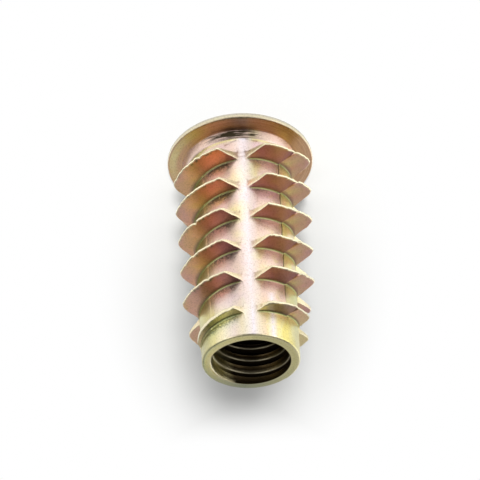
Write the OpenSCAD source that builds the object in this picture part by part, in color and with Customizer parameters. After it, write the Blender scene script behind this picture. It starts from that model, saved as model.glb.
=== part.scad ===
// Threaded insert for wood: a one-piece die-cast bush with a flange, a coarse
// outer thread broken by four lengthwise notches, a hexagon socket in the
// flange and a metric threaded hole from the socket to the nose.
//
// The insert stands on the face of its flange, which lies on z = 0, with its
// nose up. Angles run anticlockwise seen from the nose, from the notch that
// faces -Y.

/* [Body] */
// Overall length, from the face of the flange to the end of the nose
length = 25; // [21:0.5:35]
// Diameter of the core at the flange, before the casting's draft
core_d = 10.15; // [9.9:0.05:11.5]
// Diameter of the core at the end of the nose
nose_d = 9.3; // [9:0.05:10]
// Width of the bevel round the end of the nose
nose_bevel = 0.12; // [0.05:0.01:0.3]

/* [Flange] */
// Diameter of the flange
flange_d = 15; // [14.8:0.1:24]
// Thickness of the flange at its rim
flange_t = 0.6; // [0.5:0.05:1.5]
// Radius of the rounded edges of the rim
rim_r = 0.2; // [0.05:0.05:0.24]
// Diameter of the collar round the core, where it meets the flange
collar_d = 11.3; // [10.8:0.05:12.2]
// Height of the collar over the flange
collar_h = 0.65; // [0.3:0.05:1]

/* [Outer thread] */
// Diameter over the crests at the flange
thread_d = 14.55; // [13.4:0.05:14.7]
// Diameter over the crests where the lead at the nose begins
thread_end_d = 13.1; // [12.4:0.05:14]
// Diameter over the crest of the reduced last turn
lead_d = 12.25; // [11:0.05:12.9]
// Distance between neighbouring crests
pitch = 3.7; // [3.2:0.05:4.4]
// Height of the first full crest at the notch that faces -Y
crest_z = 3.7; // [3.2:0.05:4.5]
// Width of the land along the crest
crest_w = 0.22; // [0.12:0.02:0.5]
// Slope of the flank that faces the flange, from square to the axis
back_angle = 10; // [4:1:16]
// Slope of the flank that faces the nose, from square to the axis
front_angle = 5; // [2:1:16]
// Length of plain core between the end of the thread and the end of the nose
plain_nose = 2.3; // [1.6:0.1:4]
// Turn over which the thread grows out of the flange, in degrees
run_in = 150; // [90:10:240]
// Turn over which the thread dies away at the nose, in degrees
run_out = 65; // [40:5:120]

/* [Notches] */
// Number of notches round the thread
notches = 4; // [3:1:6]
// Angle between the two flat sides of a notch
notch_angle = 101; // [80:1:110]
// Width of bare core between the sides of a notch, at the flange
floor_w = 0.5; // [0.2:0.05:1.2]
// Width of bare core between the sides of a notch, at the nose
floor_end_w = 1.1; // [0.4:0.05:1.6]

/* [Threaded hole] */
// Diameter over the crests of the inner thread, an M8
bore_d = 6.8; // [5:0.05:7.2]
// Diameter of the mouth in the nose
mouth_d = 7.6; // [7.3:0.05:8.3]
// Depth over which the mouth narrows to the threaded hole
mouth_h = 3.2; // [0.5:0.1:6]
// Distance between neighbouring turns of the inner thread
inner_pitch = 1.25; // [1.25:0.25:1.75]
// Depth of the inner thread's groove below its crests
groove_h = 0.55; // [0.4:0.05:0.6]
// Width of the flat at the bottom of the groove
groove_w = 0.16; // [0.1:0.02:0.2]
// Depth of the groove below the end of the nose, at the wall that faces -Y
groove_z = 0.96; // [0.7:0.02:1.2]

/* [Drive socket] */
// Size of the hexagon across its flats
hex_af = 8; // [7.4:0.05:8.3]
// Depth of the hexagon below the face of the flange
hex_h = 7; // [3:0.25:10]
// Width of the bevel round the top of the hexagon
hex_bevel = 0.25; // [0.1:0.05:0.4]
// Slope of the seat between the hexagon and the hole, from square to the axis
seat_angle = 30; // [10:5:60]

/* [Hidden] */
// Points round a revolved surface
round_fn = 96;
// Steps of the inner thread's groove in one turn
groove_steps = 24;
// Half the angle of the inner thread's section
thread_half = 30;
// Overlap that joins solids and clears cuts
lap = 0.3;
// Points along an arc in an outline
arc_steps = 8;
// Steps of the ridge along the arc between two notches
crest_steps = 9;
// Parts of the notch angle at which the ridge has a section
notch_parts = [0, 0.45, 1];
// Run of the lead before the end of the thread, at its start and at its end
lead_from = 3;
lead_to = 1.7;
// Least height of the ridge's section where it lies inside the core
sunk_h = 0.1;
// Clearance of the buried start of the ridge from the face of the flange
face_gap = 0.1;
// Turn in which the ridge has grown over the core, and has none before it
start_turn = -330;

flank_tan = tan(notch_angle / 2);
thread_end_z = length - plain_nose;
end_turn = (thread_end_z - crest_z) / pitch * 360;
gold = [0.8, 0.68, 0.46];

// Radius of the drafted core at a height
function core_r(z) = core_d / 2 + (nose_d - core_d) / 2 * z / length;

// Radius of the crest at a height: tapered, then reduced on the last turn
function crest_r(z) = lookup(z, [
    [0, thread_d / 2],
    [thread_end_z - lead_from, thread_end_d / 2],
    [thread_end_z - lead_to, lead_d / 2]
]);

// Height of the ridge's crest at a turn, in degrees
function ridge_z(turn) = crest_z + pitch * turn / 360;

// Half the width of bare core in a notch, at a height
function half_floor(z) = (floor_w + (floor_end_w - floor_w) * z / length) / 2;

// Where the flat side of a notch would cross the notch's own centre line
function side_offset(z) =
    half_floor(z) - flank_tan * sqrt(pow(core_r(z), 2) - pow(half_floor(z), 2));

// Radius of the side of a notch, at an angle from the notch's centre line
function side_r(angle, z) =
    side_offset(z) / min(sin(angle) - flank_tan * cos(angle), -0.01);

// Angle from a notch's centre line to the corner where its side meets the crest
function corner_angle(r, z) =
    atan(flank_tan) + asin(side_offset(z) / (r * sqrt(1 + pow(flank_tan, 2))));

// Share of the full height that the ridge has at a turn
function growth(turn) = min(
    1,
    max(0, (turn - start_turn) / run_in),
    max(0, (end_turn - turn) / run_out)
);

// Radius of the top of the ridge at a turn
function top_r(turn, angle) =
    let (
        z = ridge_z(turn),
        grown = core_r(z) + (crest_r(z) - core_r(z)) * growth(turn)
    )
    max(core_r(z) - lap + sunk_h, min(grown, side_r(angle, z)));

// Section of the ridge at a turn: four points from the flange side to the nose
function section(turn, angle) =
    let (
        z = ridge_z(turn),
        top = top_r(turn, angle),
        root = core_r(z) - lap,
        drop = crest_r(z) - top,
        depth = crest_r(z) - root
    )
    [
        [root, max(z - crest_w / 2 - depth * tan(back_angle), face_gap)],
        [top, max(z - crest_w / 2 - drop * tan(back_angle), face_gap + sunk_h)],
        [top, max(z + crest_w / 2 + drop * tan(front_angle), face_gap + 2 * sunk_h)],
        [root, max(z + crest_w / 2 + depth * tan(front_angle), face_gap + 3 * sunk_h)]
    ];

// Angles of the ridge's sections between two notches, from the first notch
function notch_stations(turn) =
    let (
        z = ridge_z(turn),
        space = 360 / notches,
        corner = corner_angle(crest_r(z), z),
        arc = space - 2 * corner
    )
    concat(
        [for (part = notch_parts) part * corner],
        [for (i = [1 : crest_steps - 1]) corner + arc * i / crest_steps],
        [for (i = [len(notch_parts) - 1 : -1 : 1]) space - notch_parts[i] * corner]
    );

// All the ridge's sections, as pairs of the turn and the angle from a notch
function ridge_stations() =
    let (space = 360 / notches)
    [
        for (n = [floor(start_turn / space) : floor(end_turn / space)])
            for (a = notch_stations(n * space + space / 2))
                let (turn = n * space + a)
                if (turn >= start_turn && turn <= end_turn)
                    [turn, min(a, space - a)]
    ];

// Puts a point of a section on its turn
function wrapped(point, turn) = [point[0] * sin(turn), -point[0] * cos(turn), point[1]];

// Section of the inner thread's groove at a height, from below upwards
function groove_section(z) =
    let (
        crest = bore_d / 2 - lap / 2,
        bottom = bore_d / 2 + groove_h,
        half = groove_w / 2 + (bottom - crest) * tan(thread_half)
    )
    [
        [crest, z - half],
        [bottom, z - groove_w / 2],
        [bottom, z + groove_w / 2],
        [crest, z + half]
    ];

// Outline of the revolved body, with its rounded rim, collar and bevel
function body_outline() =
    let (
        rim = flange_d / 2,
        collar_z = flange_t + collar_h
    )
    concat(
        [[0, 0]],
        [for (i = [0 : arc_steps]) let (a = -90 + 90 * i / arc_steps)
            [rim - rim_r + rim_r * cos(a), rim_r + rim_r * sin(a)]],
        [for (i = [0 : arc_steps]) let (a = 90 * i / arc_steps)
            [rim - rim_r + rim_r * cos(a), flange_t - rim_r + rim_r * sin(a)]],
        [
            [collar_d / 2, flange_t],
            [core_r(collar_z), collar_z],
            [core_r(length - nose_bevel), length - nose_bevel],
            [nose_d / 2 - nose_bevel, length],
            [0, length]
        ]
    );

module body() {
    rotate_extrude($fn = round_fn) polygon(body_outline());
}

// Sweeps sections of four points along a helix into one solid
module sweep(sections) {
    last = len(sections) - 1;
    sides = [
        for (i = [0 : last - 1]) for (j = [0 : 3])
            let (a = 4 * i + j, b = 4 * i + (j + 1) % 4)
            each [[a, b + 4, a + 4], [a, b, b + 4]]
    ];
    ends = [
        [0, 2, 1], [0, 3, 2],
        [4 * last, 4 * last + 1, 4 * last + 2], [4 * last, 4 * last + 2, 4 * last + 3]
    ];
    polyhedron([for (s = sections) each s], concat(sides, ends));
}

// The coarse thread: one ridge along the helix, cut by the notches
module ridge() {
    sweep([
        for (s = ridge_stations()) [for (p = section(s[0], s[1])) wrapped(p, s[0])]
    ]);
}

// The inner thread's groove, from inside the socket out through the nose
module groove() {
    top_z = length - groove_z;
    first = -ceil((top_z - hex_h + lap) / inner_pitch * groove_steps);
    last = ceil((groove_z + inner_pitch) / inner_pitch * groove_steps);
    sweep([
        for (i = [first : last])
            let (turn = 360 * i / groove_steps, z = top_z + inner_pitch * turn / 360)
            [for (p = groove_section(z)) wrapped(p, turn + 180)]
    ]);
}

// The threaded hole with its tapered mouth, and the thread's groove
module bore() {
    cylinder(h = length + lap, d = bore_d, $fn = round_fn);
    translate([0, 0, length - mouth_h])
        cylinder(h = mouth_h, d1 = bore_d, d2 = mouth_d, $fn = round_fn);
    translate([0, 0, length])
        cylinder(h = lap, d = mouth_d, $fn = round_fn);
    groove();
}

// The hexagon socket, with a bevelled top and a sloping seat at the hole
module drive_socket() {
    across = hex_af / cos(30);
    mouth_across = across + 2 * (lap + hex_bevel) / cos(30);
    seat_h = (hex_af - bore_d) / 2 * tan(seat_angle);
    translate([0, 0, -lap])
        cylinder(h = hex_h + lap, d = across, $fn = 6);
    translate([0, 0, -lap])
        cylinder(h = lap + hex_bevel, d1 = mouth_across, d2 = across, $fn = 6);
    translate([0, 0, hex_h])
        cylinder(h = seat_h, d1 = hex_af, d2 = bore_d, $fn = round_fn);
}

module insert() {
    color(gold) difference() {
        union() {
            body();
            ridge();
        }
        bore();
        drive_socket();
    }
}

insert();
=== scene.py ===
import math

import bpy
import numpy as np
from mathutils import Matrix, Vector, noise


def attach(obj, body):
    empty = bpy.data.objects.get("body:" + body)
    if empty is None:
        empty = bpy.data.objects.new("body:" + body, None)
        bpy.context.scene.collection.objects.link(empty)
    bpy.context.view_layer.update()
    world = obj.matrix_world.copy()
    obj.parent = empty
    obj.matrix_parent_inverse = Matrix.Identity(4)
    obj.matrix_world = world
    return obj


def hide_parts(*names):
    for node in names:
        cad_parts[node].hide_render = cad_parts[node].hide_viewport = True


# Threaded insert: one die-cast piece that stands on its flange, nose up.
# Angles run anticlockwise seen from the nose, from the notch that faces -Y.
# Lengths are in millimetres and angles in degrees, unless a name says otherwise.
# Left and right are meant as in the photograph, where +X lies to the left.

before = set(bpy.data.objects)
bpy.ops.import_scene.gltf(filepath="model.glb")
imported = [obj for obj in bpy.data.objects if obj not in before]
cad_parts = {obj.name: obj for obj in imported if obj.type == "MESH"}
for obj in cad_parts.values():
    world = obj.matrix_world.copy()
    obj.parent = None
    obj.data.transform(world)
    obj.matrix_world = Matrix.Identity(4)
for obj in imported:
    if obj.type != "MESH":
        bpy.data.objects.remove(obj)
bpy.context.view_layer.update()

MM = 0.001
SEED = 11

# ---------------------------------------------------------------- sizes of the solid

LENGTH = 25.0
CORE_D, NOSE_D, NOSE_BEVEL = 10.15, 9.3, 0.12
FLANGE_D, FLANGE_T, RIM_R = 15.0, 0.6, 0.2
THREAD_D, THREAD_END_D, LEAD_D = 14.55, 13.1, 12.25
PITCH, CREST_Z, CREST_W = 3.7, 3.7, 0.22
BACK_TAN, FRONT_TAN = math.tan(math.radians(10)), math.tan(math.radians(5))
THREAD_END_Z = LENGTH - 2.3
LEAD_FROM, LEAD_TO = 3.0, 1.7
START_TURN, RUN_IN, RUN_OUT, RUN_OUT_POWER = -330.0, 150.0, 150.0, 0.8
END_TURN = (THREAD_END_Z - CREST_Z) / PITCH * 360 + 60
# Middle of each notch, how much nearer its first side stands to it, and how far
# the ridge's corners beside it are rounded
NOTCHES = (0.0, 94.0, 180.0, 270.5, 360.0)
NARROWER = (0.0, 3.5, 0.0, 0.0, 0.0)
CORNER_W = (0.15, 0.9, 0.5, 0.9, 0.15)
NOTCH_TAN = math.tan(math.radians(101 / 2))
FLOOR_W, FLOOR_END_W = 0.5, 1.1
BORE_D, MOUTH_D, MOUTH_H = 6.8, 7.6, 3.2
HEX_AF, HEX_H, HEX_BEVEL = 8.0, 7.0, 0.25
SEAT_H = (HEX_AF - BORE_D) / 2 * math.tan(math.radians(30))

# ---------------------------------------------------------------- what the casting adds

EDGE_R, EDGE_SHARE = 0.05, 0.2         # rounding along the crest, at most, and its share of
                                       # the ridge's height where that is low
ROOT_R, ROOT_SHARE = 0.12, 0.25        # fillet between the ridge and the core, likewise
EDGE_SOFT = 0.14                       # rounding of the flange's upper edge
SEAMS = (51.0, 138.0, 228.0, 312.1)    # parting lines between the four slides
SEAM_DARK = (0.15, 0.5, 0.5, 0.75)     # how dark each one is
SEAM_W, SEAM_DEPTH = 1.2, 0.07         # half the angle that a parting line takes, its depth
SEAM_END_Z = (22, 20)                  # heights where it ends and where it's still full
SLIDE_STEP = (0.0, 0.03, -0.01, 0.04)  # how far each slide's surface stands off
RIGHT_SLIDE, FRONT_RIGHT = 3, 4        # count of parting lines passed on these slides
# How far the crest stands off the taper, by angle, and the heights over which that fades
BULGE_ANGLES = (228, 255, 290, 298, 311, 313, 330)
BULGES = (0.0, 0.3, 0.4, 0.46, 0.24, 0.0, 0.0)
BULGE_END_Z = (20.0, 21.5)
# Share of each slide's straight pull in the tilt of its flanks, by angle
LEAN_ANGLES = (0.0, 51.0, 94.0, 138.0, 183.0, 228.0, 270.0, 312.1, 335.0)
LEAN_SHARES = (0.3, 0.15, 0.3, 0.6, 0.6, 0.6, 0.8, 1.0, 0.8)
# Collar round the core: its radius on the flange, and the height that it reaches
COLLAR_ANGLES = (0, 20, 55, 84, 96, 135, 160, 200, 290, 310, 335)
COLLAR_FEET = (5.45, 5.55, 5.68, 5.9, 5.7, 5.65, 5.6, 5.6, 5.75, 5.8, 5.62)
COLLAR_TOPS = (1.54, 1.58, 1.54, 1.42, 0.72, 0.85, 1.05, 1.15, 1.2, 1.36, 1.52)
COLLAR_DRAFT, COLLAR_TOP_TAN = 0.36, 0.76      # slopes of the collar's wall and of its top
COLLAR_BEVEL, COLLAR_BEVEL_H = 0.1, 0.05       # width and height of its upper edge
FLARE_W, FLARE_FROM, FLARE_TO, FLARE_POWER = 0.28, 3.0, 1.5, 1.3   # core above the collar
# Nicks in the crest: angle, height, half width in degrees and depth
NICKS = ((46.8, 11.7, 2.5, 0.25), (37.4, 4.2, 2.0, 0.14), (35.8, 19.0, 2.0, 0.14),
         (49.5, 15.4, 2.0, 0.10), (343.3, 22.1, 4.0, 0.22), (349.0, 21.7, 2.0, 0.12),
         (330.0, 6.9, 1.5, 0.08), (305.0, 17.9, 1.5, 0.10), (62.0, 15.8, 2.0, 0.10))
NICK_REACH = 1.5                       # a nick is cut where the crest is this near its height
RIM_DENTS = ((95.5, 2.0, 0.10), (333.3, 1.5, 0.05), (120.0, 2.0, 0.05), (250.0, 1.5, 0.06))
RIM_ROUGH, RIM_ROUGH_PER, RIM_SALT = 0.015, 0.25, 31
# Unevenness along the crest, in radius and along the axis: depth, waves per degree, salt
RAGGED = ((0.05, 0.5, 0), (0.04, 1.6, 5))
WAVES = ((0.05, 0.2, 9), (0.03, 1.1, 13))
RAGGED_LESS = 0.75                     # how much less ragged the cut faces of the notches are
# Unevenness of the parting lines, and how far beside them it goes
JAGGED, JAGGED_PER, JAGGED_SALT, JAGGED_W = 0.8, 1.7, 21, SEAM_W * 1.1
# Groove of the inner thread
INNER_PITCH, INNER_ROOT_R, INNER_LAND = 1.25, 3.97, 0.08
INNER_TAN = math.tan(math.radians(30))
INNER_Z = LENGTH - 0.96                # middle of the top groove at the far wall
# Rows of one groove, from below upwards: side of the groove (half: on the crest before
# it, 0: on its bottom), how far out of the crest, how far along the axis (on the bottom:
# which end of it), and edge mark, which paints a highlight
INNER_ROWS = (
    (-0.5, 0, 0, 0), (-1, 0, -0.03, 0.2), (-1, 0.05, 0.03, 0.6), (-1, 0.14, 0.08, 0),
    (0, 0, -1, 0), (0, 0, 1, 0),
    (1, 0.14, -0.08, 0), (1, 0.05, -0.03, 0.4), (1, 0, 0.03, 0),
)

# ---------------------------------------------------------------- marks of the film, and of painted light and shade

# Names of the marks that each point carries for the material, where 1 counts as full
# Some of them paint light and shade into the colour, as said where they're set.
MARKS = ("edge", "cut", "front", "root", "inside", "flange", "side", "stain", "straw", "warm",
         "seam", "lip", "dull", "rosy", "pale", "soot")

# Patches are written as middle angle, half width and strength. Spans are written as the
# place where a mark starts and the place where it's full.
SIDE_SPAN = (41, 60)                   # olive film of the slides at the sides
BACK_SPAN, BACK_LESS, RIGHT_LESS = (90, 120), 0.6, 0.4     # where there's less of it
# Straw film: over these heights towards the nose, on the collar, and in patches
STRAW_SPAN = (19.5, 22.5)
COLLAR_SPAN, COLLAR_STRAW = (0.4, 0.1), 0.9    # above the collar's top
PINKER = ((-50, 34, 0.8), (75, 25, 0.8))       # where the front flanks stay pinker
OLIVE = ((-55, 9, 0.8), (-82, 18, 0.6))        # on the right slide's front flanks
GOLD = ((5, 16, 1.0),)
GOLD_Z = (4.5, 6.5, 8.0, 8.6, 10.2, 12.0, 18.5, 20.5)
GOLD_FADE = (0.0, 0.8, 0.0, 0.0, 0.9, 0.0, 0.0, 0.4)
# Pink film either side of the front notch, at the nose and at the foot
ROSY = ((24, 32, 1.0), (-24, 30, 0.6))
ROSY_Z = (1.0, 3.0, 8.0, 10.5, 12.0, 20.0, 22.0)
ROSY_FADE = (1.0, 0.8, 0.0, 0.2, 0.8, 0.8, 0.0)
ROSY_NOSE = ((19, 13, 0.5), (-16, 8, 0.5))
ROSY_FOOT, ROSY_FOOT_SPAN = ((-17, 17, 0.6),), (3.5, 2.5)
# Painted highlights: the stripe in the front notch, a second one at the nose, and one beside the
# first
STRIPE, STRIPE_GAIN = ((-2.5, 13, 0.8),), 0.6
NOSE_STRIPE, NOSE_STRIPE_Z = ((-27, 7, 0.6),), 21
PALER, PALER_SPAN = ((24, 22, 0.5),), (18.5, 20.5)
# Red film, and dull film that is partly painted shade, on the front flanks beside the front notch,
# by height
FRONT_Z = (3.0, 7.5, 11.0, 15.0, 20.0, 22.0)
WARM, WARM_FADE = ((25, 20, 1.0),), (1.0, 0.85, 0.4, 0.3, 0.35, 0.0)
DULL_SPANS = (
    ((60, 35), (0.0, 0.15, 0.4, 0.4, 0.0, 0.0)),
    ((34, 24), (0.0, 0.3, 0.45, 0.6, 0.8, 0.1)),
    ((17, 9), (0.5, 0.5, 0.5, 0.5, 0.5, 0.5)),
)
DULL_LEFT, DULL_FRONT_RIGHT = ((62, 30, 0.15),), 0.5
DULL_RIGHT_Z, DULL_RIGHT_FADE = (3, 15, 18, 20.5), (0.25, 0.25, 0.2, 0.0)
# Dull film that is partly painted shade, where the straw film is: on all of it and on the front
# flanks only
STRAW_DULL, STRAW_DULL_FRONT = ((85, 35, 0.4), (-65, 20, 0.4)), ((-30, 25, 0.4),)
CORE_DULL, CORE_DULL_Z, CORE_DULL_H = 0.45, 19.5, 2.5      # on the right slide's core
# Dark stain and painted shade beside the ridge's root: left and right of the front notch and on
# the sides
STAIN_LEFT, STAIN_RIGHT, STAIN_SIDE = 0.9, 0.5, 0.45
STAIN_LEFT_SPAN, STAIN_LEFT_FADE = (9, 17), 26
STAIN_LEFT_Z, STAIN_LEFT_END = (20, 21), (64, 76)
STAIN_RIGHT_SPANS = ((352, 344), (318, 334))
STAIN_SIDE_SPAN = (40, 55)
STAIN_Z = (3.0, 8.0, 12.0, 17.0, 20.0, 21.5, 22.5)
STAIN_FADE = (1.1, 1.1, 0.75, 0.95, 0.7, 0.75, 0.9)
# Dark dashes under the crest: most of them in this patch, and elsewhere this much
DASHES, DASHES_LEAST = ((38, 26, 1.0),), 0.3
DASH_FLOOR, DASH_GAIN, DASH_PER, DASH_SALT = 0.3, 2, 0.35, 41
# Greener film of the nose's end, on the left and on the right
LIP_LEFT_SPAN, LIP_RIGHT_SPAN, LIP_RIGHT = (38, 60), (305, 285), 0.6
# Marks on the nose's flat end
END_LINE, END_STAIN = ((95, 70, 0.45),), ((90, 60, 0.6),)
END_PALE, END_DULL = ((60, 100, 0.7),), ((170, 90, 1.0),)
# Painted light on the dark inside of the mouth, where light falls on one side: height that it
# takes, place and gain
MOUTH_PALE_H, MOUTH_PALE, MOUTH_GAIN = 4.0, ((100.0, 55.0, 1.0),), 1.8
# Marks on the flange, and the painted shade on the collar's wall
FLANGE_FRONT = ((0, 70, 1.0), (360, 70, 1.0))
FLANGE_STRAW, FLANGE_PALE = ((75, 50, 0.75),), ((62, 35, 0.1),)
SOOT_ANGLE, SOOT_W, SOOT_POWER = 8, 40, 0.6


def rise(values, start, end):
    """0 up to the start and 1 from the end on; the end may lie below the start."""
    return np.clip((values - start) / (end - start), 0, 1)


def bump(values, middle, width):
    """1 at the middle, and down to 0 at that width either side."""
    return np.clip(1 - np.abs(values - middle) / width, 0, 1)


def patches(angles, table, power=1.0):
    """Strength of a mark that comes in patches; a power below 1 makes them fuller."""
    return sum(strength * bump(angles, middle, width) ** power
               for middle, width, strength in table)


def rough(values, per_unit, salt):
    """Smooth repeatable unevenness along a line, between about -1 and 1."""
    off_grid = 0.37                    # the noise is 0 at whole numbers
    at = np.ravel(values) * per_unit
    made = [noise.noise(Vector((v, salt + SEED, off_grid))) for v in at]
    return np.reshape(made, np.shape(values))


# ---------------------------------------------------------------- form

def core_r(z):
    return CORE_D / 2 + (NOSE_D - CORE_D) / 2 * z / LENGTH


def flare(z):
    """How far the core widens above the collar."""
    return FLARE_W * rise(z, FLARE_FROM, FLARE_TO) ** FLARE_POWER


def crest_r(z):
    knots = (0, THREAD_END_Z - LEAD_FROM, THREAD_END_Z - LEAD_TO)
    return np.interp(z, knots, (THREAD_D / 2, THREAD_END_D / 2, LEAD_D / 2))


def ridge_z(turn):
    return CREST_Z + PITCH * turn / 360


def half_floor(z):
    """Half the width of a notch's floor."""
    return (FLOOR_W + (FLOOR_END_W - FLOOR_W) * z / LENGTH) / 2


def side_offset(z):
    half = half_floor(z)
    return half - NOTCH_TAN * np.sqrt(core_r(z) ** 2 - half ** 2)


def side_r(angle, z):
    """Radius at which a notch's side stands, by the angle from the notch's middle."""
    a = np.radians(angle)
    nearly_along = -0.01               # a ray along the side never meets it
    return side_offset(z) / np.minimum(np.sin(a) - NOTCH_TAN * np.cos(a), nearly_along)


def corner_angle(r, z):
    """Angle from a notch's middle at which its side reaches a radius."""
    reach = side_offset(z) / (r * math.sqrt(1 + NOTCH_TAN ** 2))
    return math.degrees(math.atan(NOTCH_TAN) + math.asin(reach))


def growth(turn):
    """Share of its full height that the ridge has: it starts and ends gradually."""
    start = np.clip((turn - START_TURN) / RUN_IN, 0, 1)
    return np.minimum(start, np.clip((END_TURN - turn) / RUN_OUT, 0, 1) ** RUN_OUT_POWER)


def bulge(turn):
    fade = np.interp(ridge_z(turn), BULGE_END_Z, (1.0, 0.0))
    return np.interp(turn % 360, BULGE_ANGLES, BULGES) * fade


def full_r(turn):
    """Radius of the crest between the notches."""
    z = np.clip(ridge_z(turn), 0, LENGTH)
    return core_r(z) + (crest_r(z) + bulge(turn) - core_r(z)) * growth(turn)


def collar(angle):
    """Radius of the collar's foot and height of its top."""
    return (np.interp(angle, COLLAR_ANGLES, COLLAR_FEET, period=360),
            np.interp(angle, COLLAR_ANGLES, COLLAR_TOPS, period=360))


def hex_r(angle, z):
    """Radius of the hexagon socket, which widens at the flange's face."""
    half = HEX_AF / 2 + np.maximum(HEX_BEVEL - z, 0)
    return half / np.cos(np.radians((angle + 30) % 60 - 30))


def mouth_r(z):
    """Radius of the inner thread's crests, wider in the mouth."""
    return np.interp(z, (LENGTH - MOUTH_H, LENGTH), (BORE_D / 2, MOUTH_D / 2))


# ---------------------------------------------------------------- mesh

SHARP_ANGLE = 50                       # edges that turn by more than this stay sharp


class Shell:
    """Points, faces and per-point marks of one closed surface."""

    def __init__(self):
        self.points, self.faces, self.marks = [], [], []

    def add(self, r, angle, z, marks):
        a = math.radians(angle)
        self.points.append((r * math.sin(a), -r * math.cos(a), z))
        self.marks.append(marks)
        return len(self.points) - 1

    def ring(self, radii, angles, heights, **marks):
        shape = np.shape(angles)
        values = np.array([np.broadcast_to(marks.get(name, 0.0), shape) for name in MARKS])
        radii, heights = np.broadcast_to(radii, shape), np.broadcast_to(heights, shape)
        return [self.add(*place) for place in zip(radii, angles, heights, map(tuple, values.T))]

    def polar(self, ring):
        """Radii, angles and heights of a ring's points."""
        p = np.array([self.points[i] for i in ring])
        angles = np.degrees(np.arctan2(p[:, 0], -p[:, 1])) % 360
        return np.hypot(p[:, 0], p[:, 1]), angles, p[:, 2]

    def face(self, *corners):
        """Adds a face, leaving out corners that coincide."""
        kept = [c for i, c in enumerate(corners) if c != corners[i - 1]]
        if len(kept) > 2:
            self.faces.append(kept)

    def bridge(self, rings):
        """Joins rings in order, from below upwards on a surface that looks outwards."""
        for lower, upper in zip(rings, rings[1:]):
            n = len(lower)
            for i in range(n):
                j = (i + 1) % n
                self.face(lower[i], lower[j], upper[j], upper[i])

    def sheet(self, table, low, high, shift, outwards):
        """Adds a helical sheet cut off at two heights, which may differ by column.

        table holds height, radius, angle and the marks, each by column and row; the
        last column meets the first one shift rows up. Returns both end rings."""
        heights, radii, angles = table[:3]
        lows = np.broadcast_to(low, heights.shape[0])
        columns, ends = [], ([], [])
        for i in range(heights.shape[0]):
            z = heights[i]
            column = [None] * len(z)
            first = min(int(np.searchsorted(z, lows[i], "right")), len(z) - 1)
            last = max(int(np.searchsorted(z, high)) - 1, 0)
            for ring, limit, at in ((ends[0], lows[i], first), (ends[1], high, last)):
                radius, angle = np.interp(limit, z, radii[i]), np.interp(limit, z, angles[i])
                ring.append(self.add(radius, angle, limit, tuple(table[3:, i, at])))
            for m in range(len(z)):
                if m < first:
                    column[m] = ends[0][-1]
                elif m > last:
                    column[m] = ends[1][-1]
                else:
                    column[m] = self.add(radii[i][m], angles[i][m], z[m], tuple(table[3:, i, m]))
            columns.append(column)
        n = len(columns)
        for i in range(n):
            left, right = columns[i], columns[(i + 1) % n]
            up = shift if i == n - 1 else 0
            for m in range(len(left) - 1 - up):
                quad = (left[m], right[m + up], right[m + 1 + up], left[m + 1])
                self.face(*(quad if outwards else quad[::-1]))
        return ends

    def object(self, name, crease=()):
        """Makes the object; the edges between the points of a crease stay sharp."""
        mesh = bpy.data.meshes.new(name)
        mesh.from_pydata([Vector(p) * MM for p in self.points], [], self.faces)
        mesh.validate()
        marks = np.array(self.marks, np.float32)
        for i, mark in enumerate(MARKS):
            layer = mesh.attributes.new(mark, "FLOAT", "POINT")
            layer.data.foreach_set("value", np.ascontiguousarray(marks[:, i]))
        mesh.shade_smooth()
        mesh.set_sharp_from_angle(angle=math.radians(SHARP_ANGLE))
        crease = set(crease)
        for side in mesh.edges:
            if side.vertices[0] in crease and side.vertices[1] in crease:
                side.use_edge_sharp = True
        made = bpy.data.objects.new(name, mesh)
        bpy.context.scene.collection.objects.link(made)
        return made


# Columns between two neighbouring notches: steps in each stretch
FLOOR_STEPS, SIDE_STEPS, ARC_STEPS, SEAM_STEPS = 2, 12, (22, 8, 8, 22), 3
TURNS = range(-2, 7)


def quarter_angles(n, turn):
    """Angles of the columns from notch n up to the next one, on one turn."""
    start, end, seam, arc_steps = NOTCHES[n], NOTCHES[n + 1], SEAMS[n], ARC_STEPS[n]
    beside, least_ridge, least_angle = 20, 0.3, 0.5

    def half_notch(at, side):
        z = min(max(ridge_z(turn + at), 0.0), LENGTH)
        radius = max(full_r(turn + at + beside * side), core_r(z) + least_ridge)
        return corner_angle(core_r(z), z), corner_angle(radius, z)

    floor_a, side_a = half_notch(start, 1)
    floor_b, side_b = (max(half - NARROWER[n + 1], least_angle) for half in half_notch(end, -1))
    stretches = (
        (start, start + floor_a, FLOOR_STEPS),
        (start + floor_a, start + side_a, SIDE_STEPS),
        (start + side_a, seam - SEAM_W, arc_steps),
        (seam - SEAM_W, seam + SEAM_W, SEAM_STEPS),
        (seam + SEAM_W, end - side_b, arc_steps),
        (end - side_b, end - floor_b, SIDE_STEPS),
        (end - floor_b, end, FLOOR_STEPS),
    )
    return [a + (b - a) * i / steps for a, b, steps in stretches for i in range(steps)]


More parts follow.
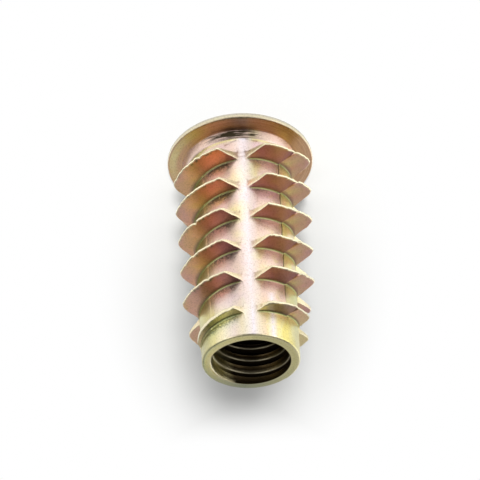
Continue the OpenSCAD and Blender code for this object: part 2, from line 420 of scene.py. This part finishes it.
class Film:
    """Marks of the film, and painted light and shade, on one turn of the ridge and the core beside
    it.
    """

    def __init__(self, turn, angles, at, raised):
        """raised is 1 where the ridge stands at its height and 0 where there's none."""
        theta = (angles + 180) % 360 - 180
        slide = np.searchsorted(SEAMS, angles)
        self.angles, self.theta, self.raised = angles, theta, raised
        self.right = slide == RIGHT_SLIDE
        side = rise(angles, *SIDE_SPAN) * (slide < FRONT_RIGHT)
        self.side = side * (1 - BACK_LESS * rise(np.abs(theta), *BACK_SPAN))
        self.rosy = patches(theta, ROSY, 0.5)
        # Painted highlight of the stripes in the front notch and at the nose
        self.pale = patches(theta, STRIPE) + patches(theta, NOSE_STRIPE) * (at > NOSE_STRIPE_Z)
        self.warm = patches(theta, WARM, 0.5) * np.interp(at, FRONT_Z, WARM_FADE)

        # Dark stain and painted shade beside the ridge's root
        left_end = np.interp(at, STAIN_LEFT_Z, STAIN_LEFT_END)
        left = rise(angles, *STAIN_LEFT_SPAN) * rise(angles, left_end, left_end - STAIN_LEFT_FADE)
        right = rise(angles, *STAIN_RIGHT_SPANS[0]) * rise(angles, *STAIN_RIGHT_SPANS[1])
        stain = left * STAIN_LEFT + right * STAIN_RIGHT
        stain = np.maximum(stain, STAIN_SIDE * rise(angles, *STAIN_SIDE_SPAN) * self.side)
        self.stain = np.sqrt(raised) * stain * np.interp(at, STAIN_Z, STAIN_FADE)

        # Dull film that is partly painted shade, by angle and height
        dull = sum(rise(angles, *span) * np.interp(at, FRONT_Z, fade) for span, fade in DULL_SPANS)
        dull = dull + patches(theta, DULL_LEFT) + DULL_FRONT_RIGHT * (slide == FRONT_RIGHT)
        self.dull = dull + np.interp(at, DULL_RIGHT_Z, DULL_RIGHT_FADE) * self.right

        dashes = np.clip(DASH_FLOOR + DASH_GAIN * rough(turn, DASH_PER, DASH_SALT), 0, 1)
        self.dashes = raised * dashes * np.maximum(patches(theta, DASHES, 0.5), DASHES_LEAST)

    def marks(self, own, z, collar_top):
        """Every mark of one row, from the ones it has of its own and its heights.

        Beside the marks, own may hold olive, the share of the olive patches."""
        angles, theta, front = self.angles, self.theta, own.get("front", 0)
        on_front = self.raised * (front > 0)
        straw = rise(z, *STRAW_SPAN) * (1 - front * patches(theta, PINKER, 0.5))
        rosy = self.rosy * np.interp(z, ROSY_Z, ROSY_FADE) + patches(theta, ROSY_NOSE) * straw
        rosy = rosy + patches(theta, ROSY_FOOT) * rise(z, *ROSY_FOOT_SPAN)
        gold = np.interp(z, GOLD_Z, GOLD_FADE) * (1 - on_front) * patches(theta, GOLD, 0.5)
        straw = np.maximum(straw, gold)
        straw = np.maximum(straw, own.get("olive", 0) * patches(theta, OLIVE) * self.right)
        above, below = (collar_top + height for height in COLLAR_SPAN)
        at_collar = rise(z, above, below) * (1 - on_front)
        straw, rosy = np.maximum(straw, COLLAR_STRAW * at_collar), rosy * (1 - at_collar)
        paler = patches(theta, PALER, 0.5) * rise(z, *PALER_SPAN)
        # Painted highlights of the stripes, stronger on the straw film and less on the gold, and
        # one more beside them
        pale = self.pale * (1 + STRIPE_GAIN * straw - gold) + paler
        dull = patches(theta, STRAW_DULL) + patches(theta, STRAW_DULL_FRONT) * on_front
        core_dull = CORE_DULL * bump(z, CORE_DULL_Z, CORE_DULL_H) * self.right * (1 - on_front)
        lip = np.maximum(rise(angles, *LIP_LEFT_SPAN) * (angles < 180),
                         LIP_RIGHT * rise(angles, *LIP_RIGHT_SPAN) * (angles > 180))
        return {name: own.get(name, 0.0) * self.raised for name in MARKS} | {
            "side": self.side * (1 - RIGHT_LESS * self.right * (front > 0)),
            "warm": self.warm,
            "straw": straw,
            "rosy": np.minimum(rosy, 1) * (1 - self.raised * front),
            "pale": (1 - on_front) * pale,
            "dull": own.get("dull", 0) * self.raised + dull * straw + core_dull,
            "lip": straw * lip,
        }


def ridge_rows(k):
    """Table of one turn of the ridge and the core beside it, from flange to nose."""
    angles = np.array([a for n in range(4) for a in quarter_angles(n, 360.0 * k)])
    turn = 360.0 * k + angles
    z0 = ridge_z(turn)
    at = np.clip(z0, 0, LENGTH)
    core, crest, full = core_r(at), crest_r(at) + bulge(turn), full_r(turn)
    slide = np.searchsorted(SEAMS, angles)
    from_seams = np.abs(angles[:, None] - np.array(SEAMS))
    to_seam, nearest = np.min(from_seams, axis=1), np.argmin(from_seams, axis=1)
    seam = (to_seam < SEAM_W / 2) * np.array(SEAM_DARK)[nearest] * rise(at, *SEAM_END_Z)
    step = np.array(SLIDE_STEP + SLIDE_STEP[:1])[slide] - SEAM_DEPTH * seam

    to_notches = angles[:, None] - np.array(NOTCHES)
    notch = np.argmin(np.abs(to_notches), axis=1)
    to_notch = to_notches[np.arange(len(angles)), notch]
    from_notch = np.abs(to_notch) + np.array(NARROWER)[notch] * (to_notch < 0)
    sides, round_w = side_r(from_notch, at), np.array(CORNER_W)[notch]
    rounding = np.maximum(round_w - np.abs(full - sides), 0) ** 2 / (4 * round_w)
    top = np.maximum(core, np.minimum(full, sides) - rounding)
    least_cut, raised_h = 0.05, 0.6
    cut = 1.0 * (full - top > least_cut)
    raised = np.clip((top - core) / raised_h, 0, 1)
    ragged, wave = (sum(depth * rough(turn, per_degree, salt) for depth, per_degree, salt in table)
                    for table in (RAGGED, WAVES))
    top = top + (1 - RAGGED_LESS * cut) * raised * ragged
    wave = raised * wave
    for middle, height, width, depth in NICKS:
        near_nick = np.abs(z0 - height) < NICK_REACH
        top = top - depth * raised * bump(angles, middle, width) * near_nick

    edge = np.minimum(EDGE_R, EDGE_SHARE * (top - core))
    root = np.minimum(ROOT_R, ROOT_SHARE * (top - core))
    phi = np.radians(angles - 90.0 * slide)
    share_of_pull = np.interp(angles, LEAN_ANGLES, LEAN_SHARES, period=360) * raised
    middle = (core + crest) / 2

    def lean(r):
        """Shift along the axis that the slide's straight pull gives a flank."""
        reach, mid = (np.arcsin(np.clip(x * np.sin(phi) / crest, -1, 1)) for x in (r, middle))
        return share_of_pull * PITCH * np.degrees(reach - mid) / 360

    def back(r):
        """Where the flank towards the flange stands, along the axis."""
        return -(CREST_W / 2 + (crest - r) * BACK_TAN) + lean(r)

    def front(r):
        return CREST_W / 2 + (crest - r) * FRONT_TAN + lean(r)

    film = Film(turn, angles, at, raised)
    dull, stain = film.dull, film.stain
    rows = []

    def row(offset, radius, **marks):
        rows.append((offset, radius, marks))

    near = 1 - math.sqrt(0.5)          # where a quarter round stands at its middle
    fillet = core + root
    flank = top - edge - fillet
    below, above = back(core) - root, front(core) + root
    for share in (0.0, 0.2, 0.4, 0.6, 0.8):
        row(-PITCH / 2 + (below + PITCH / 2) * share, core, seam=seam)
    row(below, core, root=0.2, seam=seam)
    row(back(core) - root * near, core + root * near, root=0.6)
    row(back(fillet), fillet, root=0.3)
    for share in (0.35, 0.7):
        row(back(fillet + flank * share), fillet + flank * share)
    # Round the crest, the edge marks paint a highlight, and the darker marks on the rows just
    # behind it paint a shadow line
    row(back(top - edge) + wave, top - edge, dull=1 - 0.7 * cut)
    row(back(top) + edge * near + wave, top - edge * near, edge=0.2, cut=cut, seam=0.4)
    row(back(top) + edge + wave, top, edge=0.4 + 0.2 * cut, cut=cut, seam=0.25 * (1 - cut))
    across = front(top) - back(top)
    for share, sunk, stained in ((0.3, 0.03, 0.3), (0.45, 0.01, 0.0)):
        row(back(top) + share * across + wave, top - sunk * cut, edge=1 - cut, cut=cut,
            stain=stained * cut)
    row(front(top) - edge + wave, top, edge=1 - 0.4 * cut, cut=cut)
    row(front(top) - edge * near + wave, top - edge * near, edge=1)
    row(front(top - edge) + wave, top - edge, edge=0.5, front=1)
    for share, dashed in ((0.93, 1), (0.72, 0), (0.45, 0), (0.2, 0)):
        row(front(fillet + flank * share), fillet + flank * share, front=1, dull=dull,
            stain=film.dashes * dashed, olive=1 - share)
    # The seam's dark colour at the flank's foot paints shade there
    row(front(fillet), fillet, front=1, dull=dull, seam=0.6)
    # Beside the root the core takes dark stain and painted shade, which fades away from it
    row(front(core) + root * near, core + root * near, root=1, front=0.3, stain=0.6 * stain)
    row(above, core, root=0.5, seam=seam, stain=0.6 * stain)
    for share, dark in ((0.05, 0.95), (0.28, 0.8), (0.52, 0.45), (0.76, 0.1)):
        row(above + (PITCH / 2 - above) * share, core, stain=dark * stain, seam=seam)

    # Where there's hardly any ridge, its rows are spread evenly over the pitch
    low_ridge = 0.15
    flat = np.clip(1 - (top - core) / low_ridge, 0, 1)
    collar_top = collar(angles)[1]
    near_seam = to_seam < JAGGED_W
    table = []
    for i, (offset, radius, own) in enumerate(rows):
        even = PITCH * (i / len(rows) - 0.5)
        z = z0 + offset * (1 - flat) + even * flat
        drafted = radius - core + core_r(np.clip(z, 0, LENGTH)) + flare(z) + step
        jagged = angles + JAGGED * near_seam * rough(z, JAGGED_PER, JAGGED_SALT)
        marks = film.marks(own, z, collar_top)
        table.append([z, drafted, jagged, *(marks[name] + 0 * z for name in MARKS)])
    return np.array(table).transpose(1, 2, 0)


def outer_table():
    """Table of all turns, and the count of rows in one of them."""
    turns = [ridge_rows(k) for k in TURNS]
    return np.concatenate(turns, axis=2), turns[0].shape[2]


def inner_table(angles):
    """Table of the inner thread; its groove runs out through the end of the nose."""
    spare = 3                          # turns beyond each end, which are cut off
    turns = int((LENGTH - HEX_H) / INNER_PITCH) + spare
    rows = []
    for k in range(-turns, spare):
        z0 = INNER_Z + INNER_PITCH * ((angles - 180) / 360 + k)
        land = mouth_r(z0)
        half = INNER_LAND + (INNER_ROOT_R - land) * INNER_TAN
        # Painted light in the mouth, where light falls on one side: it pales the painted shade of
        # the inside and brightens the crests' edges
        pale = MOUTH_GAIN * bump(z0, LENGTH, MOUTH_PALE_H) * patches(angles, MOUTH_PALE)
        pale = np.minimum(pale, 1)
        for side, out, along, edge in INNER_ROWS:
            if abs(side) == 1:
                offset, radius = side * half + along, land + out
            elif side == 0:
                offset, radius = along * INNER_LAND + 0 * z0, INNER_ROOT_R + 0 * z0
            else:
                offset, radius = side * INNER_PITCH + 0 * z0, land
            marks = {"edge": edge * (0.8 + 0.6 * pale) + 0.3 * pale * (side == -1),
                     "inside": 1 - 0.85 * pale, "straw": 1}
            values = [marks.get(name, 0) + 0 * z0 for name in MARKS]
            rows.append([z0 + offset, radius, angles, *values])
    return np.array(rows).transpose(1, 2, 0), len(INNER_ROWS)


def nose_rings(shell, outer_r, inner_r, angles):
    """The nose's flat end, from its bevel to the mouth."""
    rings = []
    # The edge marks paint highlights at the bevel and the mouth
    for share, edge in ((0.0, 0.6), (0.1, 0.2), (0.5, 0.0), (0.9, 0.2)):
        rings.append(shell.ring(
            outer_r + (inner_r - outer_r) * share, angles, LENGTH, edge=edge, straw=1,
            seam=patches(angles, END_LINE, 0.5) * (share == 0),
            stain=patches(angles, END_STAIN, 0.5) * (share < 0.2),
            lip=1 - patches(angles, END_PALE), dull=patches(angles, END_DULL)))
    return rings


def socket_rings(shell, angles):
    """The hexagon socket, from its bottom to the flange's face, and that face."""
    ledge, corner_h = 0.03, 0.1
    # The socket takes the painted shade of the inside too
    rings = [shell.ring(HEX_AF / 2 - ledge, angles, HEX_H, inside=1)]
    for z in (HEX_H, HEX_H - corner_h, HEX_H / 2, HEX_BEVEL, 0.0):
        rings.append(shell.ring(hex_r(angles, z), angles, z, inside=1))
    hole_r, face_r = hex_r(angles, 0.0), FLANGE_D / 2 - RIM_R
    for share in (0.3, 0.7):
        rings.append(shell.ring(hole_r + (face_r - hole_r) * share, angles, 0.0))
    return rings


def flange_rings(shell, angles):
    """The flange's rounded rim, and its upper side as far as the collar's foot."""
    dent = sum(depth * bump(angles, middle, width) for middle, width, depth in RIM_DENTS)
    dent = dent + RIM_ROUGH * (1 + rough(angles, RIM_ROUGH_PER, RIM_SALT))
    front = np.maximum(*(bump(angles, middle, width) for middle, width, _ in FLANGE_FRONT))
    steps = 4
    rounds = [math.radians(90 * i / steps) for i in range(steps + 1)]
    rings = []
    # The light marks on the rim and on the flange's rounded edge paint a highlight, and the dull
    # mark on the rim is partly painted shade
    for i, a in enumerate(rounds):
        r, z = FLANGE_D / 2 - RIM_R + RIM_R * math.sin(a), RIM_R - RIM_R * math.cos(a)
        rings.append(shell.ring(r - dent * (i > 2), angles, z, edge=0.2, lip=0.2, pale=0.5,
                                straw=0.8, dull=0.55))
    # Here and on the face, the dark marks towards the front are stain and painted shade
    for i, a in enumerate(rounds):
        r = FLANGE_D / 2 - EDGE_SOFT + EDGE_SOFT * math.cos(a)
        z = FLANGE_T - EDGE_SOFT + EDGE_SOFT * math.sin(a)
        outer = i < 3
        rings.append(shell.ring(r - dent * outer, angles, z, edge=0.5 * outer, flange=i / steps,
                                lip=0.6 * (1 - i / steps), pale=0.4 * outer,
                                stain=0.8 * (not outer) * front))
    foot = collar(angles)[0]
    for share in (0.06, 0.12, 0.4, 0.65, 0.9, 1.0):
        r = FLANGE_D / 2 - EDGE_SOFT + (foot - FLANGE_D / 2 + EDGE_SOFT) * share
        rings.append(shell.ring(r, angles, FLANGE_T, flange=1 - 0.6 * (share == 1),
                                straw=patches(angles, FLANGE_STRAW) * (share < 0.5),
                                dull=0.7 * front, pale=patches(angles, FLANGE_PALE),
                                stain=0.7 * (share == 0.06) * front))
    return rings


def collar_rings(shell, end_r, angles, end_z):
    """The collar's wall and bevel, up to the ring where the core starts."""
    foot = collar(angles)[0]
    # Painted shade on the front of the collar's wall
    from_soot = np.abs((angles - SOOT_ANGLE + 180) % 360 - 180)
    soot = np.clip(1 - from_soot / SOOT_W, 0, 1) ** SOOT_POWER
    wall_h = end_z - FLANGE_T + COLLAR_TOP_TAN * (foot - end_r)
    wall_h = wall_h / (1 + COLLAR_TOP_TAN * COLLAR_DRAFT)
    rings = []
    for share in (0.05, 0.35, 0.65, 1.0):
        rings.append(shell.ring(foot - COLLAR_DRAFT * wall_h * share, angles,
                                FLANGE_T + wall_h * share, rosy=0.7,
                                soot=soot * (share < 0.9), straw=0.8 * (share == 1)))
    for share in (0.5, 0.95):
        rings.append(shell.ring(foot - COLLAR_DRAFT * wall_h - COLLAR_BEVEL * share, angles,
                                FLANGE_T + wall_h + COLLAR_BEVEL_H * share, straw=0.9))
    return rings


def make_insert():
    shell = Shell()
    table, shift = outer_table()
    low_end = collar(table[2, :, 0])[1]
    low, high = shell.sheet(table, low_end, LENGTH - NOSE_BEVEL, shift, True)
    low_r, low_a, low_z = shell.polar(low)
    high_r, high_a, _ = shell.polar(high)

    inner, inner_shift = inner_table(high_a)
    seat, lip = shell.sheet(inner, HEX_H + SEAT_H, LENGTH, inner_shift, False)
    lip_r = shell.polar(lip)[0]
    shell.bridge([high, *nose_rings(shell, high_r - NOSE_BEVEL, lip_r, high_a), lip])

    # The columns nearest the hexagon's corners move onto them
    corners = high_a.copy()
    for corner in range(30, 360, 60):
        corners[np.argmin(np.abs(high_a - corner))] = corner
    flange = socket_rings(shell, corners) + flange_rings(shell, low_a)
    shell.bridge([seat, *flange, *collar_rings(shell, low_r, low_a, low_z), low])
    return shell.object("insert_body", crease=flange[-1])


# ---------------------------------------------------------------- materials

def seen(red, green, blue):
    """Linear colour of a surface that looks as written, each from 0 to 1."""
    return (*(c / 12.92 if c < 0.04045 else ((c + 0.055) / 1.055) ** 2.4
              for c in (red, green, blue)), 1.0)


class Nodes:
    """Short calls for building one material's nodes."""

    def __init__(self, name):
        self.material = bpy.data.materials.new(name)
        self.material.use_nodes = True
        self.tree = self.material.node_tree
        self.tree.nodes.clear()

    def node(self, kind, inputs=None, **settings):
        made = self.tree.nodes.new("ShaderNode" + kind)
        for name, value in settings.items():
            setattr(made, name, value)
        for name, value in (inputs or {}).items():
            socket = made.inputs[name]
            if isinstance(value, bpy.types.NodeSocket):
                self.tree.links.new(value, socket)
            else:
                socket.default_value = value
        return made

    def maths(self, operation, a, b=0.0, clamp=False):
        return self.node("Math", {0: a, 1: b}, operation=operation, use_clamp=clamp).outputs[0]

    def mark(self, name):
        return self.node("Attribute", attribute_name=name).outputs["Fac"]

    def noise(self, place, scale, detail=2.0, roughness=0.5, distortion=0.0):
        made = self.node("TexNoise", {"Vector": place, "Scale": scale, "Detail": detail,
                                      "Roughness": roughness, "Distortion": distortion})
        return made.outputs["Fac"]

    def scaled(self, place, by):
        return self.node("VectorMath", {0: place, 1: by}, operation="MULTIPLY").outputs["Vector"]

    def spots(self, grain, amount, gain, lift, above):
        """Spots where the grain is high; the higher the amount, the more of them."""
        total = self.maths("ADD", self.maths("MULTIPLY", grain, gain),
                           self.maths("MULTIPLY", amount, lift))
        return self.maths("SUBTRACT", total, above, clamp=True)

    def ramp(self, factor, stops):
        made = self.node("ValToRGB", {"Fac": factor})
        bar = made.color_ramp.elements
        while len(bar) < len(stops):
            bar.new(1.0)
        for element, (place, colour) in zip(bar, stops):
            element.position = place
            element.color = seen(*colour)
        return made.outputs["Color"]

    def blend(self, factor, a, b, mode="MIX"):
        made = self.node("Mix", {0: factor, 6: a, 7: b}, data_type="RGBA", blend_type=mode)
        return made.outputs[2]


def chromated_zinc():
    """Zinc under a yellow chromate film, whose colours follow the marks of the points; some paint
    light and shade.
    """
    n = Nodes("chromated_zinc")
    place = n.node("TexCoord").outputs["Object"]
    place = n.node("VectorMath", {0: place, 3: 1 / MM}, operation="SCALE").outputs["Vector"]
    patchy = n.noise(place, scale=0.45, distortion=0.4)
    fine = n.noise(place, scale=7.0, detail=4.0, roughness=0.7)
    coarse = n.noise(place, scale=2.2)
    streaks = n.noise(n.scaled(place, (1.0, 1.0, 0.3)), scale=0.6)
    from_axis = n.node("VectorMath", {0: n.scaled(place, (1.0, 1.0, 0.0))},
                       operation="LENGTH").outputs["Value"]
    hoops = n.noise(n.node("CombineXYZ", {"X": from_axis}).outputs[0],
                    scale=5.0, detail=3.0, roughness=0.7)
    side, front, flange = n.mark("side"), n.mark("front"), n.mark("flange")
    straw, rosy, stain, soot = n.mark("straw"), n.mark("rosy"), n.mark("stain"), n.mark("soot")
    rose = n.ramp(patchy, (
        (0.32, (0.97, 0.92, 0.68)),
        (0.44, (0.96, 0.86, 0.77)),
        (0.60, (0.94, 0.82, 0.80)),
        (0.74, (0.92, 0.85, 0.64)),
    ))
    olive = n.ramp(patchy, (
        (0.36, (0.96, 0.93, 0.64)),
        (0.50, (0.93, 0.90, 0.62)),
        (0.64, (0.95, 0.87, 0.70)),
    ))
    gold = n.ramp(streaks, (
        (0.38, (0.97, 0.91, 0.57)),
        (0.50, (0.99, 0.95, 0.70)),
        (0.64, (0.98, 0.91, 0.61)),
    ))
    brown = n.ramp(patchy, (
        (0.36, (0.77, 0.57, 0.48)),
        (0.48, (0.77, 0.54, 0.49)),
        (0.64, (0.75, 0.52, 0.51)),
    ))
    tan = n.ramp(patchy, (
        (0.38, (0.97, 0.79, 0.63)),
        (0.48, (0.98, 0.78, 0.67)),
        (0.64, (0.97, 0.77, 0.70)),
    ))
    worn_brown = n.ramp(hoops, (
        (0.35, (0.82, 0.64, 0.52)),
        (0.50, (0.88, 0.71, 0.57)),
        (0.62, (0.93, 0.79, 0.63)),
    ))
    # The nose-facing flanks take a browner, darker colour than the core: partly their film, partly
    # painted shade
    flank = n.blend(n.mark("warm"), brown, seen(0.98, 0.66, 0.52))
    flank = n.blend(side, flank, tan)
    colour = n.blend(front, n.blend(side, rose, olive), flank)
    colour = n.blend(flange, colour, worn_brown)
    gold = n.blend(rosy, gold, seen(0.98, 0.84, 0.86))
    colour = n.blend(n.maths("MAXIMUM", straw, n.maths("MULTIPLY", rosy, 0.8)), colour,
                     n.blend(front, gold, seen(0.97, 0.92, 0.64)))
    # Of these colours, the first paints highlights and light, the third paints the light on the
    # cut faces, the darkest paints the shade inside, and the last paints highlights along crests
    # and rims; root and lip are film
    for mark, look in (
        ("pale", (0.98, 0.94, 0.96)),
        ("root", (0.59, 0.61, 0.35)),
        ("cut", (0.99, 0.92, 0.76)),
        ("lip", (0.83, 0.80, 0.58)),
        ("inside", (0.29, 0.24, 0.16)),
        ("edge", (1.0, 0.96, 0.82)),
    ):
        colour = n.blend(n.mark(mark), colour, seen(*look))
    # Darker, bluer film that is partly painted shade
    colour = n.blend(n.mark("dull"), colour, seen(0.73, 0.77, 0.88), "MULTIPLY")
    # Stain and painted shade beside the roots: a slight tint here, and dark specks below
    colour = n.blend(stain, colour, seen(0.90, 0.97, 0.95), "MULTIPLY")
    # Dark parting lines, and painted shadow lines at the crest and at the flanks' feet
    colour = n.blend(n.mark("seam"), colour, seen(0.30, 0.29, 0.18))
    grain = n.ramp(fine, ((0.30, (0.86, 0.85, 0.82)), (0.52, (1.0, 1.0, 1.0))))
    colour = n.blend(1.0, colour, grain, "MULTIPLY")
    pits = n.noise(place, scale=4.5, detail=3.0, roughness=0.6)
    specks = n.spots(pits, stain, gain=5.0, lift=2.2, above=3.3)
    specks = n.maths("MULTIPLY", specks, n.maths("MINIMUM", stain, 0.92))
    colour = n.blend(specks, colour, seen(0.40, 0.45, 0.38))
    # Painted shade in streaks on the collar's front wall
    rubs = n.noise(n.scaled(place, (0.35, 0.35, 4.0)), scale=1.6, detail=3.0, roughness=0.6)
    rubs = n.spots(rubs, soot, gain=6.0, lift=2.6, above=4.2)
    rubs = n.maths("MULTIPLY", rubs, n.maths("MULTIPLY", soot, 1.5, clamp=True))
    colour = n.blend(rubs, colour, seen(0.26, 0.23, 0.17))
    height = n.maths("ADD", n.maths("MULTIPLY", fine, 0.6), coarse)
    bumps = n.node("Bump", {"Height": height, "Strength": 0.45, "Distance": 0.04 * MM})
    smooth = n.maths("MAXIMUM", front, flange)
    roughness = n.maths("ADD", n.maths("MULTIPLY", fine, 0.15), 0.26)
    roughness = n.maths("SUBTRACT", roughness, n.maths("MULTIPLY", smooth, 0.03))
    shader = n.node("BsdfPrincipled", {
        "Base Color": colour, "Metallic": 1.0, "Roughness": roughness,
        "Normal": bumps.outputs["Normal"],
    })
    n.node("OutputMaterial", {"Surface": shader.outputs["BSDF"]})
    return n.material


# Round the insert's foot and behind it, the floor is paper that takes the shadow: an oval
# patch, which turns into plain white over a span of distances from its middle. Distances
# along Y count for less. Beyond a span of places behind the insert, all of it is white.
PAPER_MIDDLE, PAPER_SQUEEZE = (-1.0, 25.0), 0.42
PAPER_SPAN, BEHIND_SPAN = (7.5, 17.5), (45.0, 57.0)


def white_floor():
    """A pale floor that looks white to the camera and in the metal, and keeps shadow."""
    n = Nodes("studio_floor")
    path = n.node("LightPath")
    seen_by = n.maths("MAXIMUM", path.outputs["Is Camera Ray"], path.outputs["Is Glossy Ray"])
    seen_by = n.maths("MAXIMUM", seen_by, path.outputs["Is Transmission Ray"])
    paper = n.node("BsdfDiffuse", {"Color": seen(0.895, 0.897, 0.89)})
    white = n.node("Emission", {"Color": (1.0, 1.0, 1.0, 1.0), "Strength": 1.0})
    place = n.node("TexCoord").outputs["Object"]
    behind = n.node("SeparateXYZ", {0: place}).outputs["Y"]
    middle = (-PAPER_MIDDLE[0] * MM, -PAPER_MIDDLE[1] * PAPER_SQUEEZE * MM, 0.0)
    place = n.node("Mapping", {"Vector": place, "Location": middle,
                               "Scale": (1.0, PAPER_SQUEEZE, 0.0)}).outputs["Vector"]
    away = n.node("VectorMath", {0: place}, operation="LENGTH").outputs["Value"]

    def change(value, low, high):
        return n.node("MapRange", {"Value": value, "From Min": low * MM, "From Max": high * MM,
                                   "To Min": 0.0, "To Max": 1.0},
                      interpolation_type="SMOOTHSTEP").outputs["Result"]

    share = n.maths("MAXIMUM", change(away, *PAPER_SPAN), change(behind, *BEHIND_SPAN))
    share = n.maths("MULTIPLY", seen_by, share)
    mixed = n.node("MixShader", {0: share, 1: paper.outputs[0], 2: white.outputs[0]})
    n.node("OutputMaterial", {"Surface": mixed.outputs[0]})
    return n.material


# ---------------------------------------------------------------- piece

insert = make_insert()
insert.data.materials.append(chromated_zinc())
shading = insert.modifiers.new("even_shading", "WEIGHTED_NORMAL")
shading.keep_sharp = True
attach(insert, "root")
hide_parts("insert")

# ---------------------------------------------------------------- floor, light, camera

FLOOR_SIZE, FLOOR_GAP = 3000.0, 0.02
MIDDLE = (0.0, 0.0, LENGTH / 2)
# Key lights, which throw the shadow behind the insert and don't show in the metal: their
# azimuth, elevation and distance, and the size and brightness of each
KEY_PLACE = (0, 29, 600)
KEYS = (("key", (85, 75), 205), ("wide_key", (600, 60), 15))
# Cards that lie on the floor, face up, and only the metal shows: place, size, brightness
# and turn. A lamp blocks no ray, so in the metal a card adds to the white floor under it.
CARD_Z, CARD_AIM_Z = 0.05, 50.0
CARDS = (
    ("strip", (-2.7, -36.0), (5.5, 52), 0.42, 10),
    ("right_card", (-22.0, -11.0), (28, 40), 0.35, 0),
    ("nose_card", (33.0, -17.0), (18, 18), 0.14, 0),
    ("arm_card", (18.0, -10.5), (16, 14), 0.3, 0),
)
# Soft boxes that only the metal shows: azimuth and elevation, size and brightness
BOX_DISTANCE = 90
BOXES = (
    ("left_box", (49, 40), (45, 45), 1.32),
    ("low_left", (66, 14), (40, 36), 0.72),
    ("right_box", (-42, 38), (55, 60), 1.0),
    ("low_right", (-64, 12), (60, 36), 1.1),
    ("back_right", (-118, 14), (70, 40), 1.0),
)


def add_floor():
    half = FLOOR_SIZE / 2
    corners = [(x * half, y * half, -FLOOR_GAP) for x, y in ((-1, -1), (1, -1), (1, 1), (-1, 1))]
    mesh = bpy.data.meshes.new("floor")
    mesh.from_pydata([Vector(c) * MM for c in corners], [], [(0, 1, 2, 3)])
    mesh.materials.append(white_floor())
    floor = bpy.data.objects.new("floor", mesh)
    bpy.context.scene.collection.objects.link(floor)


def add_lamp(name, place, target, size, radiance, on_floor=False, in_metal=True, turn=0.0):
    """An oblong area lamp of an even brightness, where 1 looks white."""
    data = bpy.data.lights.new(name, "AREA")
    data.shape = "RECTANGLE"
    data.size, data.size_y = size[0] * MM, size[1] * MM
    data.energy = radiance * 4 * data.size * data.size_y
    lamp = bpy.data.objects.new(name, data)
    lamp.location = Vector(place) * MM
    facing = Vector(target) - Vector(place)
    lamp.rotation_euler = facing.to_track_quat("-Z", "Y").to_euler()
    lamp.rotation_euler.rotate_axis("Z", math.radians(turn))
    lamp.visible_camera = False
    lamp.visible_diffuse, lamp.visible_glossy = on_floor, in_metal
    bpy.context.scene.collection.objects.link(lamp)


def around(azimuth, elevation, distance):
    """A place seen from the middle of the insert."""
    a, e = math.radians(azimuth), math.radians(elevation)
    flat = distance * math.cos(e)
    return (math.sin(a) * flat, -math.cos(a) * flat, LENGTH / 2 + distance * math.sin(e))


def add_lamps():
    for name, size, radiance in KEYS:
        add_lamp(name, around(*KEY_PLACE), MIDDLE, size, radiance, on_floor=True, in_metal=False)
    for name, place, size, radiance, turn in CARDS:
        add_lamp(name, (*place, CARD_Z), (*place, CARD_AIM_Z), size, radiance, turn=turn)
    for name, way, size, radiance in BOXES:
        add_lamp(name, around(*way, BOX_DISTANCE), MIDDLE, size, radiance)


def add_world(front, low, back):
    """A grey room: lighter behind the insert than in front, and light near the floor."""
    world = bpy.data.worlds.new("studio")
    world.use_nodes = True
    tree = world.node_tree
    way = tree.nodes.new("ShaderNodeTexCoord")
    split = tree.nodes.new("ShaderNodeSeparateXYZ")
    tree.links.new(way.outputs["Generated"], split.inputs[0])

    def ramp(value, span, start, end):
        made = tree.nodes.new("ShaderNodeMapRange")
        made.interpolation_type = "SMOOTHSTEP"
        tree.links.new(value, made.inputs["Value"])
        for name, number in (("From Min", span[0]), ("From Max", span[1]), ("To Max", end)):
            made.inputs[name].default_value = number
        if isinstance(start, float):
            made.inputs["To Min"].default_value = start
        else:
            tree.links.new(start, made.inputs["To Min"])
        return made.outputs["Result"]

    upwards = ramp(split.outputs["Z"], (0.1, 0.4), low, front)
    level = ramp(split.outputs["Y"], (0.1, 0.8), upwards, back)
    sky = tree.nodes["Background"]
    sky.inputs["Color"].default_value = (1.0, 1.0, 1.0, 1.0)
    tree.links.new(level, sky.inputs["Strength"])
    bpy.context.scene.world = world


def add_camera():
    """The photograph's view: its camera rolled over, so the nose is at the bottom."""
    azimuth, elevation, roll = (math.radians(v) for v in (1.8881, 37.2697, 176.9406))
    distance, focal_px, image_px, sensor = 187.0675, 1857.62, 480, 36.0
    aim, aim_px = Vector((0, 0, 8)), (3.366, 18.642)
    back = Vector((math.sin(azimuth) * math.cos(elevation),
                   -math.cos(azimuth) * math.cos(elevation), math.sin(elevation)))
    level = (-back).cross(Vector((0, 0, 1))).normalized()
    upright = level.cross(-back)
    right = level * math.cos(roll) + upright * math.sin(roll)
    up = upright * math.cos(roll) - level * math.sin(roll)
    per_px = distance / focal_px
    centre = aim + back * distance - right * aim_px[0] * per_px - up * aim_px[1] * per_px
    data = bpy.data.cameras.new("camera")
    data.sensor_width, data.lens = sensor, focal_px / image_px * sensor
    data.clip_start, data.clip_end = 0.01, 10.0
    camera = bpy.data.objects.new("camera", data)
    turn = Matrix((right, up, back)).transposed()
    camera.matrix_world = Matrix.Translation(centre * MM) @ turn.to_4x4()
    bpy.context.scene.collection.objects.link(camera)
    bpy.context.scene.camera = camera


add_floor()
add_lamps()
add_world(front=0.13, low=0.8, back=0.62)
add_camera()
bpy.context.scene.view_settings.view_transform = "Standard"
